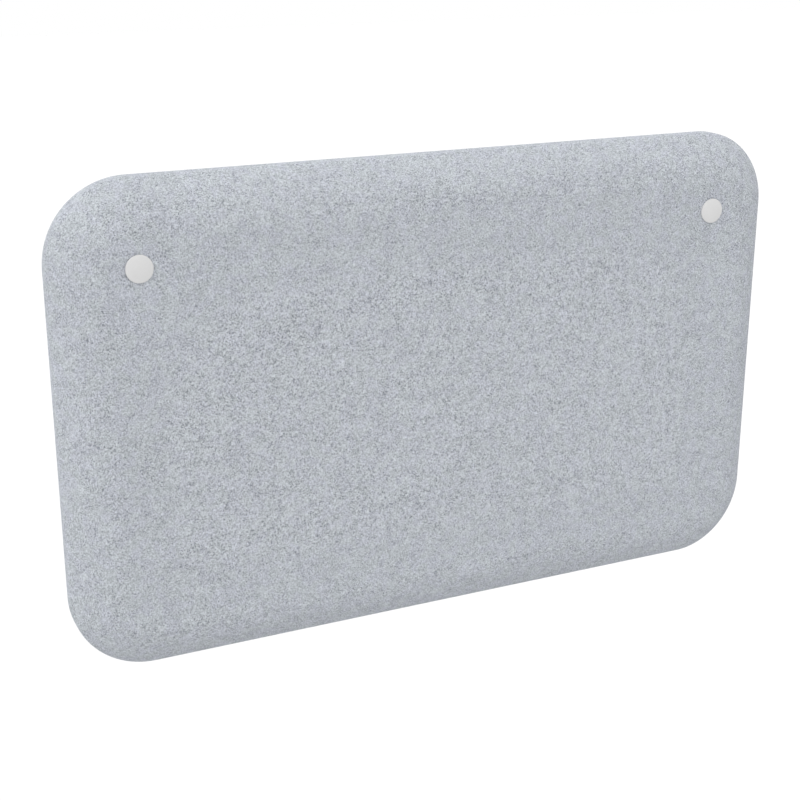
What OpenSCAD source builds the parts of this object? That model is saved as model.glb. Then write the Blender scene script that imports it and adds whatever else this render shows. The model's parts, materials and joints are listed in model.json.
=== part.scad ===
// Padded acoustic divider panel with two capped through-fixings near its top corners.
// Front faces -Y, up is +Z. The origin is midway between the two rear threads,
// on the plane that meets whatever holds the panel.

/* [Panel] */
// Width of the panel over the fabric
panel_w = 1200; // [900:10:1800]
// Height of the panel over the fabric
panel_h = 740; // [600:10:1000]
// Radius of the panel's corners
corner_r = 123; // [118:1:140]

/* [Board frame] */
// Thickness of the frame's boards
board_t = 18; // [16:1:24]
// Width of the rails and stiles
rail_w = 60; // [50:1:80]
// How far a corner block reaches past the plate of its fixing
block_margin = 8; // [4:1:30]
// Slack between a board and the absorber board beside it
core_slack = 0.5; // [0.3:0.1:0.9]
// Width of the groove that holds the hems of the two covers
groove_w = 4.4; // [4.2:0.1:6]
// Depth of that groove
groove_depth = 11; // [10.5:0.5:16]

/* [Dowels] */
// Diameter of the dowels
dowel_d = 8; // [6:1:10]
// Length of the dowels
dowel_l = 40; // [30:1:60]
// Distance of each dowel from the nearer edge of its rail
dowel_margin = 17; // [16:1:22]
// Slack round a dowel
dowel_slack = 0.2; // [0.1:0.1:0.4]

/* [Padding] */
// Thickness of each pad at its rim
pad_rim_t = 1; // [1:0.1:2]
// Rise of each pad from its rim to the flat of the face
pad_crown = 34; // [30:1:40]
// Distance from the outline to the flat of the face
roll_w = 82; // [75:1:95]
// Fullness of the rolled edge, where 2 is a parabola
roll_power = 2.5; // [2:0.1:3]
// Radius where the face turns into the band round the edge
edge_r = 4; // [3:0.5:5]

/* [Cover] */
// Thickness of the felted fabric
cover_t = 1.5; // [1:0.1:1.5]
// Slack between the fabric and what it covers
cover_slack = 0.2; // [0.1:0.1:0.4]
// Gap between the two covers at their seam
seam_gap = 0.4; // [0.2:0.1:0.6]
// How far the hems reach into the groove
hem_depth = 5; // [4:0.5:5.5]
// Diameter of the cord behind the hems
hem_cord_d = 3.6; // [2:0.2:4]

/* [Fixings] */
// Distance of each fixing from the top and from its side
fixing_inset = 122; // [110:1:122]
// Diameter of the steel tube through the panel
tube_d = 16; // [14:1:16]
// Rear hole in the tube, at the core of an M8 thread
thread_d = 6.8; // [6.6:0.1:7]
// Front hole in the tube, at the core of an M6 thread
screw_thread_d = 5; // [4.8:0.1:5.2]
// Depth of each thread
thread_depth = 30; // [26:1:36]
// Slack round the tube in the corner block
tube_slack = 0.3; // [0.2:0.1:0.5]
// How far the rear plane stands behind the rear fabric
rear_proud = 4; // [3:0.5:6]

/* [Tube plate] */
// Diameter of the plate that fastens the tube to its corner block
plate_d = 48; // [46:1:50]
// Thickness of that plate
plate_t = 3; // [2:0.5:4]
// Wood screws in each plate
plate_screws = 3; // [3:1:4]
// Distance of the wood screws from the tube's axis
plate_screw_ring = 16; // [15:0.5:17]
// Core diameter of the wood screws
plate_screw_d = 3; // [2.5:0.5:3.5]
// Head diameter of the wood screws
plate_screw_head_d = 7.4; // [6.5:0.1:8]
// Head height of the wood screws
plate_screw_head_t = 2.4; // [1.8:0.1:3]
// Length of the wood screws under the head
plate_screw_l = 16; // [12:1:18]
// Slack round a wood screw
plate_screw_slack = 0.2; // [0.1:0.1:0.3]

/* [Cup washer and clamp screw] */
// Diameter of the washer's rim
washer_d = 36.4; // [34:0.1:36.6]
// Thickness of the washer's rim
washer_t = 2.2; // [1.8:0.1:2.3]
// Diameter of the boss that passes through the fabric
boss_d = 21; // [20:0.5:23]
// Depth of the boss below the rim
boss_depth = 4; // [3.5:0.5:8]
// Diameter of the hole through the washer
washer_hole_d = 6.4; // [6:0.1:6.4]
// Diameter of the clamp screw's countersunk head
head_d = 12; // [11:0.5:13]
// Slack round the clamp screw
screw_slack = 0.2; // [0.1:0.1:0.4]
// Length of the clamp screw with its head
screw_l = 25; // [20:1:30]
// Width across the flats of the clamp screw's socket
socket_w = 4; // [3.5:0.5:5]
// Depth of that socket
socket_depth = 2.5; // [2:0.5:3]

/* [Cap] */
// Diameter of the caps
cap_d = 40; // [39.6:0.1:42]
// Height of a cap's rim above the flat of the fabric
cap_proud = 2.6; // [2.2:0.1:5]
// Rise of a cap's middle above its rim
cap_dome = 1.9; // [0.8:0.1:2.5]
// Radius of the edge of a cap
cap_edge_r = 1.2; // [0.8:0.1:1.5]
// Thickness of a cap's roof
cap_roof = 1.3; // [1:0.1:1.8]
// Slack between a cap and the washer that it clips over
cap_slack = 0.15; // [0.1:0.05:0.3]
// How far a cap sinks into the fabric
cap_bite = 1.2; // [1:0.1:1.8]
// Slack round a cap in the fabric
cap_gap = 0.4; // [0.3:0.1:0.6]

/* [Ring nut] */
// Diameter of the rear ring nuts
nut_d = 40; // [38:0.5:42]
// Width of the four spanner slots
slot_w = 5; // [4:0.5:6]
// Depth of the spanner slots
slot_depth = 2.5; // [2:0.5:4]

/* [Hidden] */

fabric_tone = [0.71, 0.72, 0.745];
pad_tone = [0.93, 0.93, 0.9];
core_tone = [0.55, 0.57, 0.6];
board_tone = [0.83, 0.7, 0.5];
dowel_tone = [0.72, 0.56, 0.36];
steel_tone = [0.72, 0.73, 0.74];
cap_tone = [0.86, 0.86, 0.85];

roll_steps = 14;  // facets across a rolled edge
turn_steps = 3;  // facets where the face turns into the band
dome_steps = 8;  // facets across a cap's dome
edge_steps = 4;  // facets round a cap's edge
round_fn = 96;
small_fn = 48;
overrun = 1;  // how far a cut passes the surface that it opens

// Heights above the panel's mid-depth: the rim of a rolled face and its flat
rim_y = board_t / 2 + pad_rim_t;
flat_y = rim_y + pad_crown;
pad_t = flat_y - board_t / 2;
depth = 2 * flat_y;
mid_y = -(rear_proud + depth / 2);
rear_face_y = -rear_proud;
front_face_y = rear_face_y - depth;
top_z = fixing_inset;
centre_z = top_z - panel_h / 2;
fixing_x = panel_w / 2 - fixing_inset;

// The boards lie inside the fabric.
skin = cover_t + cover_slack;
frame_w = panel_w - 2 * skin;
frame_h = panel_h - 2 * skin;
frame_r = corner_r - skin;
block_w = fixing_inset - skin + plate_d / 2 + block_margin;

// How far a fixing's seat lies below the flat of the fabric, so that the lowest edge still bites.
dish_r = max(cap_d, nut_d) / 2 + cap_gap;
corner_reach = corner_r - sqrt(2) * (corner_r - fixing_inset);
seat_inset = min(fixing_inset, corner_reach) - dish_r;
seat_depth = pad_crown - rise(seat_inset) + cap_bite;
hole_r = boss_d / 2 + cover_slack;

tube_l = depth + rear_proud - seat_depth - boss_depth;
pocket_r = plate_d / 2 + cover_slack;
pocket_depth = plate_t + plate_screw_head_t + cover_slack;

// Rise of the rolled face and its slope, at an inset from the outline
function still_to_run(inset) = max(1 - inset / roll_w, 0);
function rise(inset) = pad_crown * (1 - pow(still_to_run(inset), roll_power));
function slope(inset) = atan(pad_crown * roll_power / roll_w * pow(still_to_run(inset), roll_power - 1));

// The rounding between the band and the face: how far it turns, and where its centre and end lie
edge_turn = 90 - slope(0);
edge_centre_y = rim_y - edge_r * tan(edge_turn / 2);
edge_end = edge_r * (1 - cos(edge_turn));

// The rolled edge from the band to the flat, set in by a skin: [inset, height above mid-depth]
function roll_points(inwards, first_turn = 0) = concat(
    [for (i = [0 : turn_steps]) let (turn = first_turn + (edge_turn - first_turn) * i / turn_steps)
        [edge_r - (edge_r - inwards) * cos(turn), edge_centre_y + (edge_r - inwards) * sin(turn)]],
    [for (i = [1 : roll_steps]) let (at = edge_end + (roll_w - edge_end) * i / roll_steps)
        [at + inwards * sin(slope(at)), rim_y + rise(at) - inwards * cos(slope(at))]]);

function reversed(points) = [for (i = [len(points) - 1 : -1 : 0]) points[i]];

// Places children that were drawn with the face's outward side up and the panel's height along Y.
module front_side() translate([0, mid_y, centre_z]) rotate([90, 0, 0]) children();
module rear_side() translate([0, mid_y, centre_z]) mirror([0, 1, 0]) rotate([90, 0, 0]) children();

// Turns a lathed piece so that its axis is the fixing's, with its base on the rear plane.
module at_fixing(side) translate([side * fixing_x, 0, 0]) rotate([90, 0, 0]) children();
// The same from the flat of the front fabric, outwards.
module on_front(side) translate([side * fixing_x, front_face_y, 0]) rotate([90, 0, 0]) children();

// A form with one cross-section all round its margin, rolled round the corners, and a flat middle
module pillow(section, low, high) {
    mid_w = panel_w - 2 * corner_r;
    mid_h = panel_h - 2 * corner_r;
    for (corner = [0 : 3]) {
        across = corner == 0 || corner == 3 ? 1 : -1;
        up = corner < 2 ? 1 : -1;
        translate([across * mid_w / 2, up * mid_h / 2, 0]) rotate(corner * 90)
            rotate_extrude(angle = 90, $fn = round_fn)
                polygon([for (p = section) [corner_r - p[0], p[1]]]);
    }
    for (side = [0, 1]) {
        mirror([side, 0, 0]) translate([mid_w / 2, 0, 0]) rotate([90, 0, 0])
            linear_extrude(mid_h, center = true)
                polygon([for (p = section) [corner_r - p[0], p[1]]]);
        mirror([0, side, 0]) translate([0, mid_h / 2, 0]) rotate([90, 0, 90])
            linear_extrude(mid_w, center = true)
                polygon([for (p = section) [corner_r - p[0], p[1]]]);
    }
    translate([0, 0, (low + high) / 2]) cube([mid_w, mid_h, high - low], center = true);
}

// Everything inside the outer surface of one face
module face_body() pillow(concat(roll_points(0), [[corner_r, flat_y], [corner_r, 0], [0, 0]]), 0, flat_y);

// The two fixings seen from a face, at the flat of the fabric
module each_fixing_on_face() for (side = [-1, 1])
    translate([side * fixing_x, -centre_z, flat_y]) children();

module round_bar(radius, from, to, facets = small_fn)
    translate([0, 0, min(from, to)]) cylinder(r = radius, h = abs(to - from), $fn = facets);

// A slab with round corners, lying in the panel's plane at mid-depth
module slab(w, h, r, t) translate([0, mid_y, centre_z]) rotate([90, 0, 0]) {
    cube([w - 2 * r, h, t], center = true);
    cube([w, h - 2 * r, t], center = true);
    for (x = [-1, 1], y = [-1, 1]) translate([x * (w / 2 - r), y * (h / 2 - r), 0])
        cylinder(r = r, h = t, center = true, $fn = round_fn);
}

module frame_outline(inwards, t)
    slab(frame_w - 2 * inwards, frame_h - 2 * inwards, frame_r - inwards, t);

// A board by its low and high corners in the panel's plane
module board(x_low, z_low, x_high, z_high, t = board_t)
    translate([x_low, mid_y - t / 2, centre_z + z_low]) cube([x_high - x_low, t, z_high - z_low]);

module edge_groove() difference() {
    frame_outline(-overrun, groove_w);
    frame_outline(groove_depth, groove_w + overrun);
}

// Dowels across the ends of a rail: place children at each dowel's middle, axis along X
module rail_dowels() for (side = [-1, 1], up = [-1, 1], margin = [dowel_margin, rail_w - dowel_margin])
    translate([side * (frame_w / 2 - block_w), mid_y, centre_z + up * (frame_h / 2 - margin)])
        rotate([0, 90, 0]) children();

module stile_dowels() for (side = [-1, 1], up = [-1, 1], margin = [dowel_margin, rail_w - dowel_margin])
    translate([side * (frame_w / 2 - margin), mid_y, centre_z + up * (frame_h / 2 - block_w)]) children();

module centre_dowels() for (side = [-1, 1], up = [-1, 1])
    translate([side * (rail_w / 2 - dowel_margin), mid_y, centre_z + up * (frame_h / 2 - rail_w)]) children();

module dowel(slack) cylinder(d = dowel_d + slack, h = dowel_l + slack, center = true, $fn = small_fn);

module dowel_holes() {
    rail_dowels() dowel(dowel_slack);
    stile_dowels() dowel(dowel_slack);
    centre_dowels() dowel(dowel_slack);
}

// Wood screws of one plate: children run along the fixing's axis
module each_plate_screw() for (i = [0 : plate_screws - 1]) rotate(90 + i * 360 / plate_screws)
    translate([plate_screw_ring, 0, 0]) children();

// Height of the plate above the rear plane, measured forwards
plate_far = -(mid_y + board_t / 2);
plate_near = plate_far - plate_t;

module frame_piece() color(board_tone) difference() {
    children();
    edge_groove();
    dowel_holes();
}

module rail(up) frame_piece() board(-(frame_w / 2 - block_w),
    up > 0 ? frame_h / 2 - rail_w : -frame_h / 2, frame_w / 2 - block_w,
    up > 0 ? frame_h / 2 : -(frame_h / 2 - rail_w));
module stile(side) frame_piece() board(side > 0 ? frame_w / 2 - rail_w : -frame_w / 2,
    -(frame_h / 2 - block_w), side > 0 ? frame_w / 2 : -(frame_w / 2 - rail_w), frame_h / 2 - block_w);

module top_rail() rail(1);
module bottom_rail() rail(-1);
module left_stile() stile(-1);
module right_stile() stile(1);
module centre_stile() frame_piece() board(-rail_w / 2, -(frame_h / 2 - rail_w),
    rail_w / 2, frame_h / 2 - rail_w);

module corner_block(side, up) frame_piece() intersection() {
    frame_outline(0, board_t);
    board(side > 0 ? frame_w / 2 - block_w : -frame_w / 2, up > 0 ? frame_h / 2 - block_w : -frame_h / 2,
        side > 0 ? frame_w / 2 : -(frame_w / 2 - block_w), up > 0 ? frame_h / 2 : -(frame_h / 2 - block_w));
}

// The upper blocks are bored for the tube and its plate's wood screws.
module fixing_block(side) color(board_tone) difference() {
    corner_block(side, 1);
    at_fixing(side) {
        round_bar(tube_d / 2 + tube_slack, plate_near, plate_far + board_t + overrun);
        each_plate_screw() round_bar((plate_screw_d + plate_screw_slack) / 2,
            plate_near, plate_near + plate_screw_l + overrun);
    }
}
module top_left_block() fixing_block(-1);
module top_right_block() fixing_block(1);
module bottom_left_block() corner_block(-1, -1);
module bottom_right_block() corner_block(1, -1);

module frame_dowels() color(dowel_tone) {
    rail_dowels() dowel(0);
    stile_dowels() dowel(0);
    centre_dowels() dowel(0);
}

// An absorber board that fills one half of the frame, notched round the corner blocks
module core(side) color(core_tone) difference() {
    near = rail_w / 2 + core_slack;
    far = frame_w / 2 - rail_w - core_slack;
    high = frame_h / 2 - rail_w - core_slack;
    board(side > 0 ? near : -far, -high, side > 0 ? far : -near, high);
    for (up = [-1, 1]) {
        notch_x = frame_w / 2 - block_w - core_slack;
        notch_z = frame_h / 2 - block_w - core_slack;
        board(side > 0 ? notch_x : -frame_w / 2, up > 0 ? notch_z : -frame_h / 2,
            side > 0 ? frame_w / 2 : -notch_x, up > 0 ? frame_h / 2 : -notch_z, board_t + overrun);
    }
}
module left_core() core(-1);
module right_core() core(1);

// A crowned pad that lies on the boards, pressed in round both fixings
first_pad_turn = asin(max(board_t / 2 - edge_centre_y, 0) / (edge_r - skin));
pad_rim = roll_points(skin, first_pad_turn);
pad_foot = edge_centre_y > board_t / 2 ? [[skin, board_t / 2]] : [];
module pad() color(pad_tone) difference() {
    pillow(concat(pad_rim, [[corner_r, flat_y - skin], [corner_r, board_t / 2]], pad_foot),
        board_t / 2, flat_y - skin);
    each_fixing_on_face() {
        round_bar(dish_r + skin, -(seat_depth + skin), overrun);
        round_bar(hole_r, -(pad_t + overrun), overrun);
    }
}
module front_pad() front_side() pad();
module rear_pad() color(pad_tone) difference() {
    rear_side() pad();
    for (side = [-1, 1]) at_fixing(side) round_bar(pocket_r, plate_far - pocket_depth, plate_far + overrun);
}

// One felted cover: the rolled face, half of the flat band, and the hem turned into the groove
module cover() color(fabric_tone) {
    half_gap = seam_gap / 2;
    difference() {
        pillow(concat([[skin + hem_depth, half_gap], [0, half_gap]], roll_points(0),
            [[corner_r, flat_y], [corner_r, flat_y - cover_t]], reversed(roll_points(cover_t)),
            [[cover_t, half_gap + cover_t], [skin + hem_depth, half_gap + cover_t]]),
            flat_y - cover_t, flat_y);
        each_fixing_on_face() round_bar(dish_r + overrun / 2, -pad_crown / 2, overrun);
    }
    intersection() {
        face_body();
        each_fixing_on_face() difference() {
            round_bar(dish_r + cover_t, -(seat_depth + cover_t), overrun);
            round_bar(dish_r, -seat_depth, 2 * overrun);
            round_bar(hole_r, -(seat_depth + cover_t + overrun), overrun);
        }
    }
}
module front_cover() front_side() cover();
module rear_cover() rear_side() cover();

// A closed loop of cord in the groove, behind the hems
module hem_cord() color(fabric_tone) translate([0, mid_y, centre_z]) rotate([90, 0, 0]) {
    mid_w = frame_w - 2 * frame_r;
    mid_h = frame_h - 2 * frame_r;
    loop_r = frame_r - hem_depth - hem_cord_d / 2 - cover_slack;
    for (corner = [0 : 3]) {
        across = corner == 0 || corner == 3 ? 1 : -1;
        up = corner < 2 ? 1 : -1;
        translate([across * mid_w / 2, up * mid_h / 2, 0]) rotate(corner * 90)
            rotate_extrude(angle = 90, $fn = round_fn) translate([loop_r, 0])
                circle(d = hem_cord_d, $fn = small_fn);
    }
    for (side = [-1, 1]) {
        translate([side * (mid_w / 2 + loop_r), 0, 0]) rotate([90, 0, 0])
            cylinder(d = hem_cord_d, h = mid_h, center = true, $fn = small_fn);
        translate([0, side * (mid_h / 2 + loop_r), 0]) rotate([0, 90, 0])
            cylinder(d = hem_cord_d, h = mid_w, center = true, $fn = small_fn);
    }
}

// A steel tube with its plate, threaded at both ends and solid between
module hanger_tube(side) color(steel_tone) at_fixing(side) difference() {
    union() {
        round_bar(tube_d / 2, 0, tube_l);
        round_bar(plate_d / 2, plate_near, plate_far);
    }
    round_bar(thread_d / 2, -overrun, thread_depth);
    round_bar(screw_thread_d / 2, tube_l - thread_depth, tube_l + overrun);
    each_plate_screw() round_bar((plate_screw_d + plate_screw_slack) / 2,
        plate_near - overrun, plate_far + overrun);
}
module left_hanger_tube() hanger_tube(-1);
module right_hanger_tube() hanger_tube(1);

module plate_screw_set(side) color(steel_tone) at_fixing(side) each_plate_screw() {
    round_bar(plate_screw_d / 2, plate_near, plate_near + plate_screw_l);
    round_bar(plate_screw_head_d / 2, plate_near - plate_screw_head_t, plate_near);
}
module left_plate_screws() plate_screw_set(-1);
module right_plate_screws() plate_screw_set(1);

// A washer that clamps the front fabric against the pad and takes the countersunk head
washer_top = washer_t - seat_depth;
head_r = head_d / 2;
shank_r = (screw_thread_d - screw_slack) / 2;
sink_r = head_r + screw_slack;
sink_depth = sink_r - washer_hole_d / 2;
module cup_washer(side) color(steel_tone) on_front(side) difference() {
    union() {
        round_bar(washer_d / 2, -seat_depth, washer_top, round_fn);
        round_bar(boss_d / 2, -(seat_depth + boss_depth), washer_top);
    }
    round_bar(washer_hole_d / 2, -(seat_depth + boss_depth + overrun), washer_top + overrun);
    translate([0, 0, washer_top - sink_depth])
        cylinder(r1 = washer_hole_d / 2, r2 = sink_r, h = sink_depth, $fn = small_fn);
}
module left_cup_washer() cup_washer(-1);
module right_cup_washer() cup_washer(1);

// A countersunk socket screw, its thread drawn at the thread's core
module clamp_screw(side) color(steel_tone) on_front(side) difference() {
    union() {
        round_bar(shank_r, washer_top - screw_l, washer_top);
        translate([0, 0, washer_top - head_r + shank_r])
            cylinder(r1 = shank_r, r2 = head_r, h = head_r - shank_r, $fn = small_fn);
    }
    translate([0, 0, washer_top - socket_depth])
        cylinder(d = socket_w / cos(30), h = socket_depth + overrun, $fn = 6);
}
module left_clamp_screw() clamp_screw(-1);
module right_clamp_screw() clamp_screw(1);

// A domed cap: its rim clips over the washer, and a ledge inside stops it on the washer's face
ledge_z = washer_top + cap_slack;
cap_r = cap_d / 2;
clip_r = washer_d / 2 + cap_slack;
cap_flat_r = cap_r - cap_edge_r;
dome_r = (pow(cap_flat_r, 2) + pow(cap_dome, 2)) / (2 * cap_dome);
function dome_points(radius, height) = [for (i = [0 : dome_steps]) let (x = radius * i / dome_steps)
    [x, height + cap_dome - dome_r + sqrt(pow(dome_r, 2) - pow(x, 2))]];
module cap(side) color(cap_tone) on_front(side) rotate_extrude($fn = round_fn) polygon(concat(
    dome_points(cap_flat_r, cap_proud),
    [for (i = [1 : edge_steps]) let (turn = 90 * i / edge_steps)
        [cap_flat_r + cap_edge_r * sin(turn), cap_proud - cap_edge_r * (1 - cos(turn))]],
    [[cap_r, cap_gap - seat_depth], [clip_r, cap_gap - seat_depth], [clip_r, ledge_z],
        [clip_r - washer_t, ledge_z]],
    reversed(dome_points(clip_r - washer_t, cap_proud - cap_roof))));
module left_cap() cap(-1);
module right_cap() cap(1);

// The rear ring nut: it clamps the rear fabric, and its face is flush with the tube's end
module ring_nut(side) color(steel_tone) at_fixing(side) difference() {
    union() {
        round_bar(nut_d / 2, 0, rear_proud + seat_depth, round_fn);
        round_bar(boss_d / 2, 0, rear_proud + seat_depth + boss_depth);
    }
    round_bar((tube_d + screw_slack) / 2, -overrun, rear_proud + seat_depth + boss_depth + overrun);
    for (i = [0 : 3]) rotate(45 + i * 90) translate([nut_d / 2 - slot_depth, -slot_w / 2, -overrun])
        cube([slot_depth + overrun, slot_w, rear_proud + overrun]);
}
module left_ring_nut() ring_nut(-1);
module right_ring_nut() ring_nut(1);

top_rail();
bottom_rail();
left_stile();
right_stile();
centre_stile();
top_left_block();
top_right_block();
bottom_left_block();
bottom_right_block();
frame_dowels();
left_core();
right_core();
front_pad();
rear_pad();
front_cover();
rear_cover();
hem_cord();
left_hanger_tube();
right_hanger_tube();
left_plate_screws();
right_plate_screws();
left_cup_washer();
right_cup_washer();
left_clamp_screw();
right_clamp_screw();
left_cap();
right_cap();
left_ring_nut();
right_ring_nut();
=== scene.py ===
# Acoustic divider panel: felt covers over fleece pads on a board frame, with capped fixings.
# Metres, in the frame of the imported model: the capped front faces -Y, up is +Z.
import json
import math
import bmesh
import bpy
import numpy as np
from mathutils import Matrix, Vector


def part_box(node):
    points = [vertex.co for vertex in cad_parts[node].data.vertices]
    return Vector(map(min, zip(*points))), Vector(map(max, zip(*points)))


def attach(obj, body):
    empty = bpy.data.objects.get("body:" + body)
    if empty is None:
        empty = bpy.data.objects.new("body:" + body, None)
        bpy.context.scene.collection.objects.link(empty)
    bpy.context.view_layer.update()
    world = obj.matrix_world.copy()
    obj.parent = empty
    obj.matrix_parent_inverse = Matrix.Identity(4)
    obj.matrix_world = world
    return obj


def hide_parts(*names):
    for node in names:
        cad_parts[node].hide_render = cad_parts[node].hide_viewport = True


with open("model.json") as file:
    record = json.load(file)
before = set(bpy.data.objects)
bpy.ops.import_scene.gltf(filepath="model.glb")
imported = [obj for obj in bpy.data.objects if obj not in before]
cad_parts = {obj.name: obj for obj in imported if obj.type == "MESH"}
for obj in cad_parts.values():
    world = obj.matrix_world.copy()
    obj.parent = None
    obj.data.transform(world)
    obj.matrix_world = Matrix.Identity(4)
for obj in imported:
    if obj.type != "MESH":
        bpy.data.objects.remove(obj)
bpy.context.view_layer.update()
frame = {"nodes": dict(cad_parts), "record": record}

mm = 0.001

# Where the panel and its fixings lie
frontLow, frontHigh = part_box("front_cover")
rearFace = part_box("rear_cover")[1].y
halfWidth = (frontHigh.x - frontLow.x) / 2
halfHeight = (frontHigh.z - frontLow.z) / 2
centreZ = (frontHigh.z + frontLow.z) / 2
frontFace = frontLow.y
middle = (frontFace + rearFace) / 2
faceHeight = (rearFace - frontFace) / 2
capLow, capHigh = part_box("right_cap")
capRadius = (capHigh.x - capLow.x) / 2
fixingX = (capLow.x + capHigh.x) / 2
fixingZ = (capLow.z + capHigh.z) / 2
sides = {"left": -1, "right": 1}

# Camera at the photograph's angle

camera = {
    "place": (-1.0007, -2.0461, 0.4771),
    "turn": (71.4877, 0, -25.1584),  # degrees
    "lens": 66.897,
    "sensor": 36,
}


def addCamera():
    lens = bpy.data.cameras.new("camera")
    lens.lens = camera["lens"]
    lens.sensor_width = camera["sensor"]
    holder = bpy.data.objects.new("camera", lens)
    holder.location = camera["place"]
    holder.rotation_euler = [math.radians(a) for a in camera["turn"]]
    bpy.context.scene.collection.objects.link(holder)
    bpy.context.scene.camera = holder


addCamera()
bpy.context.scene.view_settings.view_transform = "Standard"
print("camera placed")

# Short forms for shader nodes


def addNode(tree, kind, inputs=None, **settings):
    made = tree.nodes.new(kind)
    for key, value in settings.items():
        setattr(made, key, value)
    for key, value in (inputs or {}).items():
        if isinstance(value, bpy.types.NodeSocket):
            tree.links.new(value, made.inputs[key])
        else:
            made.inputs[key].default_value = value
    return made


def calc(tree, operation, *values, clamp=False):
    inputs = dict(enumerate(values))
    return addNode(tree, "ShaderNodeMath", inputs, operation=operation, use_clamp=clamp).outputs[0]


def grain(tree, place, size, detail=2.0, rough=0.5, warp=0.0):  # noise with a grain of that size
    inputs = {"Vector": place, "Scale": 1 / size, "Detail": detail, "Roughness": rough, "Distortion": warp}
    return addNode(tree, "ShaderNodeTexNoise", inputs).outputs["Fac"]


def ramp(tree, value, start, end, low=0.0, high=1.0):  # smooth step from low to high
    inputs = {"Value": value, "From Min": start, "From Max": end, "To Min": low, "To Max": high}
    return addNode(tree, "ShaderNodeMapRange", inputs, interpolation_type="SMOOTHSTEP").outputs[0]


def shifted(tree, place, by, stretch=(1, 1, 1), turn=0.0):  # the same pattern, moved, turned and drawn out
    inputs = {"Vector": place, "Location": by, "Rotation": (0, math.radians(turn), 0), "Scale": stretch}
    return addNode(tree, "ShaderNodeMapping", inputs, vector_type="TEXTURE").outputs[0]


def blendColour(tree, amount, first, second):
    colours = [c if isinstance(c, bpy.types.NodeSocket) else (*c, 1) for c in (first, second)]
    inputs = {0: amount, 6: colours[0], 7: colours[1]}
    return addNode(tree, "ShaderNodeMix", inputs, data_type="RGBA").outputs[2]


def tinted(tree, colour, tone):  # a colour made lighter or darker
    return addNode(tree, "ShaderNodeVectorMath", {0: colour, "Scale": tone}, operation="SCALE").outputs[0]


def varied(tree, level, field, strength):  # a level that a noise raises and lowers
    away = calc(tree, "SUBTRACT", field, 0.5)
    return calc(tree, "MULTIPLY_ADD", away, strength, level)


def newMaterial(name, **sockets):
    made = bpy.data.materials.new(name)
    made.use_nodes = True
    tree = made.node_tree
    shader = tree.nodes["Principled BSDF"]
    for key, value in sockets.items():
        shader.inputs[key].default_value = value
    place = addNode(tree, "ShaderNodeTexCoord").outputs["Object"]
    return made, tree, shader, place


def dress(tree, shader, colour, roughness, height, depth, strength):  # roughness None leaves it even
    tree.links.new(colour, shader.inputs["Base Color"])
    if roughness is not None:
        tree.links.new(roughness, shader.inputs["Roughness"])
    bump = addNode(tree, "ShaderNodeBump", {"Height": height, "Distance": depth, "Strength": strength})
    tree.links.new(bump.outputs[0], shader.inputs["Normal"])


# Studio: an even surround that is a little brighter above and to the left, over a pale floor

studio = {
    "level": 1.12,
    "fromAbove": 0.2,
    "fromLeft": 0.34,
    "floorBelow": 730 * mm,
    "floorSize": 40.0,
    "floorShown": 0.84,
    "floorGiven": 0.58,
}


def seenRay(tree):  # 1 for rays from the camera and for those that gloss or glass sends on
    path = addNode(tree, "ShaderNodeLightPath")
    seen = calc(tree, "ADD", path.outputs["Is Camera Ray"], path.outputs["Is Glossy Ray"])
    return calc(tree, "ADD", seen, path.outputs["Is Transmission Ray"], clamp=True)


def lightWorld():
    world = bpy.data.worlds.new("surround")
    bpy.context.scene.world = world
    world.use_nodes = True
    tree = world.node_tree
    place = addNode(tree, "ShaderNodeTexCoord").outputs["Generated"]
    parts = addNode(tree, "ShaderNodeSeparateXYZ", {0: place}).outputs
    above = calc(tree, "MULTIPLY_ADD", parts["Z"], studio["fromAbove"], 1.0)
    given = calc(tree, "MULTIPLY_ADD", parts["X"], -studio["fromLeft"], above)
    shown = seenRay(tree)
    unseen = calc(tree, "SUBTRACT", studio["level"], calc(tree, "MULTIPLY", shown, studio["level"]))
    given = calc(tree, "MULTIPLY", given, unseen)
    strength = calc(tree, "ADD", given, shown)
    background = tree.nodes["Background"]
    background.inputs["Color"].default_value = (1, 1, 1, 1)
    tree.links.new(strength, background.inputs["Strength"])


def addFloor():
    mesh = bpy.data.meshes.new("floor")
    reach = studio["floorSize"] / 2
    level = frontLow.z - studio["floorBelow"]
    corners = [(x * reach, y * reach, level) for x, y in ((-1, -1), (1, -1), (1, 1), (-1, 1))]
    mesh.from_pydata(corners, [], [(0, 1, 2, 3)])
    floor = bpy.data.objects.new("floor", mesh)
    bpy.context.scene.collection.objects.link(floor)
    paint = bpy.data.materials.new("floor_paint")
    paint.use_nodes = True
    tree = paint.node_tree
    tree.nodes.clear()
    shade = calc(tree, "MULTIPLY_ADD", seenRay(tree), studio["floorShown"] - studio["floorGiven"],
                 studio["floorGiven"])
    matt = addNode(tree, "ShaderNodeBsdfDiffuse", {"Color": shade}).outputs[0]
    clear = addNode(tree, "ShaderNodeBsdfTransparent").outputs[0]
    below = addNode(tree, "ShaderNodeNewGeometry").outputs["Backfacing"]  # views from under the floor
    surface = addNode(tree, "ShaderNodeMixShader", {0: below, 1: matt, 2: clear}).outputs[0]
    addNode(tree, "ShaderNodeOutputMaterial", {"Surface": surface})
    mesh.materials.append(paint)


lightWorld()
addFloor()
print("studio lit")

# Finishes; levels say where a ramp begins and ends

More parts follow.
